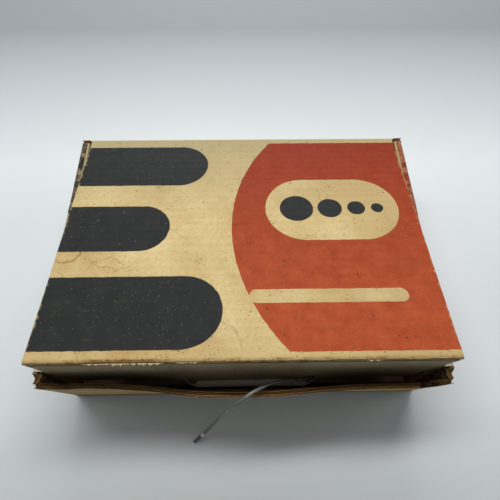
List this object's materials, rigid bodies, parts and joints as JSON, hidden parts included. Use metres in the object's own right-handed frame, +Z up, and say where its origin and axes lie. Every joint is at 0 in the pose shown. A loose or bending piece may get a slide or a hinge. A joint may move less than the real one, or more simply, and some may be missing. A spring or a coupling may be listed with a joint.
{
  "type": "film editor viewer in its carton",
  "caption": "Film editor viewer with folding reel arms and hand cranks, packed in a worn corrugated carton whose hinged lid stands ajar",
  "frame": {"origin": "middle of the carton's floor area, on the table", "axes": "+X to the right, +Y to the back where the lid is hinged, +Z up"},
  "size_m": [0.33, 0.2819, 0.1343],
  "materials": {
    "raw_board": "uncoated kraft corrugated board, worn",
    "lid_print": null,
    "side_print_left": "printed liner, black turning to cream, scuffed",
    "side_print_right": "printed liner, red, scuffed",
    "flap_board": "cream liner, in shade",
    "packing_board": "plain kraft board",
    "grey_cord": "braided grey cord",
    "white_collar": "white plastic",
    "dark_tip": "dark crimped metal",
    "grey_enamel": "hammered grey enamel",
    "pale_enamel": "smooth pale enamel",
    "black_enamel": "black crinkle enamel",
    "black_plastic": "black moulded plastic",
    "pale_plastic": "ivory moulded plastic",
    "bright_steel": "bright plated steel",
    "satin_steel": "turned steel",
    "brass": "turned brass",
    "black_rubber": "black rubber",
    "clear_glass": "clear optical glass",
    "ground_glass": "ground viewing screen",
    "mirror_glass": "silvered glass"
  },
  "bodies": {
    "carton": {"carton_bottom": "raw_board", "carton_back_wall": "raw_board", "carton_left_side_wall": "side_print_left", "carton_right_side_wall": "side_print_right", "carton_front_wall": "raw_board", "carton_corner_ears": "raw_board", "packing_tube_left": "packing_board", "packing_tube_right": "packing_board", "packing_tube_front": "packing_board", "packing_pad_back": "packing_board", "base_deck": "grey_enamel", "base_bottom_plate": "satin_steel", "rubber_feet": "black_rubber", "cord_inlet": "black_rubber", "viewer_housing": "grey_enamel", "housing_back_cover": "black_enamel", "back_cover_screws": "satin_steel", "screen_hood": "black_enamel", "screen_bezel": "pale_enamel", "viewing_screen": "ground_glass", "mirror": "mirror_glass", "mirror_bracket": "satin_steel", "lens_sleeve": "satin_steel", "film_channel": "bright_steel", "gate_hinge_pin": "satin_steel", "roller_posts": "satin_steel", "lamp_house": "black_enamel", "condenser_lens": "clear_glass", "lamp_socket": "pale_plastic", "lamp_cap": "brass", "lamp_bulb": "clear_glass", "switch_nut": "bright_steel", "arm_bracket_right": "grey_enamel", "arm_bracket_left": "grey_enamel", "arm_pivot_pins": "satin_steel"},
    "lid": {"lid_panel": "lid_print"},
    "tuck_flap": {"lid_tuck_flap": "flap_board", "handle_cord": "grey_cord", "handle_tip_collar": "white_collar", "handle_tip": "dark_tip", "handle_inner_barb": "bright_steel"},
    "focus": {"focus_knob": "black_plastic", "focus_shaft": "satin_steel"},
    "lens": {"lens_barrel": "black_enamel", "projection_lens": "clear_glass"},
    "gate": {"pressure_gate": "bright_steel"},
    "sprocket": {"film_sprocket": "satin_steel", "rotating_prism": "clear_glass"},
    "framing": {"framing_lever": "bright_steel"},
    "roller_left": {"guide_roller_left": "pale_plastic"},
    "roller_right": {"guide_roller_right": "pale_plastic"},
    "toggle": {"switch_toggle": "bright_steel"},
    "arm_right": {"reel_arm_right": "grey_enamel"},
    "crank_right": {"crank_right": "bright_steel", "reel_spindle_right": "bright_steel"},
    "crank_knob_right": {"crank_knob_right": "black_plastic"},
    "arm_left": {"reel_arm_left": "grey_enamel"},
    "crank_left": {"crank_left": "bright_steel", "reel_spindle_left": "bright_steel"},
    "crank_knob_left": {"crank_knob_left": "black_plastic"}
  },
  "joints": [
    {"name": "lid_hinge", "type": "hinge", "parent": "carton", "child": "lid", "pos_m": [0, 0.117, 0.096], "axis": [-1, 0, 0], "range_deg": [0, 171]},
    {"name": "flap_crease", "type": "hinge", "parent": "lid", "child": "tuck_flap", "pos_m": [0, -0.11458, 0.13226], "axis": [1, 0, 0], "range_deg": [0, 2]},
    {"name": "focus_turn", "type": "hinge", "parent": "carton", "child": "focus", "pos_m": [0, -0.002, 0.0436], "axis": [1, 0, 0], "range_deg": [-36, 60]},
    {"name": "lens_slide", "type": "slide", "parent": "carton", "child": "lens", "axis": [0, 1, 0], "range_m": [-0.00155, 0.0026]},
    {"name": "gate_hinge", "type": "hinge", "parent": "carton", "child": "gate", "pos_m": [0, -0.04378, 0.044], "axis": [-1, 0, 0], "range_deg": [0, 100]},
    {"name": "sprocket_turn", "type": "hinge", "parent": "carton", "child": "sprocket", "pos_m": [0, -0.034, 0.03], "axis": [0, 0, 1], "continuous": true},
    {"name": "framing_turn", "type": "hinge", "parent": "carton", "child": "framing", "pos_m": [0, -0.034, 0.024], "axis": [0, 0, 1], "range_deg": [-12, 12]},
    {"name": "roller_left_turn", "type": "hinge", "parent": "carton", "child": "roller_left", "pos_m": [-0.052, -0.03528, 0.033], "axis": [0, 0, 1], "continuous": true},
    {"name": "roller_right_turn", "type": "hinge", "parent": "carton", "child": "roller_right", "pos_m": [0.052, -0.03528, 0.033], "axis": [0, 0, 1], "continuous": true},
    {"name": "switch_tilt", "type": "hinge", "parent": "carton", "child": "toggle", "pos_m": [0.096, -0.058, 0.0227], "axis": [1, 0, 0], "range_deg": [-12, 12]},
    {"name": "arm_right_fold", "type": "hinge", "parent": "carton", "child": "arm_right", "pos_m": [0.072, 0.0533, 0.034], "axis": [0, -1, 0], "range_deg": [0, 25]},
    {"name": "crank_right_turn", "type": "hinge", "parent": "arm_right", "child": "crank_right", "pos_m": [0.118, 0.0533, 0.054], "axis": [0, 1, 0], "continuous": true},
    {"name": "crank_knob_right_turn", "type": "hinge", "parent": "crank_right", "child": "crank_knob_right", "pos_m": [0.092, 0.0315, 0.054], "axis": [0, 1, 0], "continuous": true},
    {"name": "arm_left_fold", "type": "hinge", "parent": "carton", "child": "arm_left", "pos_m": [-0.072, 0.0533, 0.034], "axis": [0, 1, 0], "range_deg": [0, 25]},
    {"name": "crank_left_turn", "type": "hinge", "parent": "arm_left", "child": "crank_left", "pos_m": [-0.118, 0.0533, 0.054], "axis": [0, 1, 0], "continuous": true},
    {"name": "crank_knob_left_turn", "type": "hinge", "parent": "crank_left", "child": "crank_knob_left", "pos_m": [-0.092, 0.0315, 0.054], "axis": [0, 1, 0], "continuous": true}
  ],
  "couplings": [
    {"joint": "lens_slide", "follows": "focus_turn", "m_per_rad": 0.00245}
  ]
}
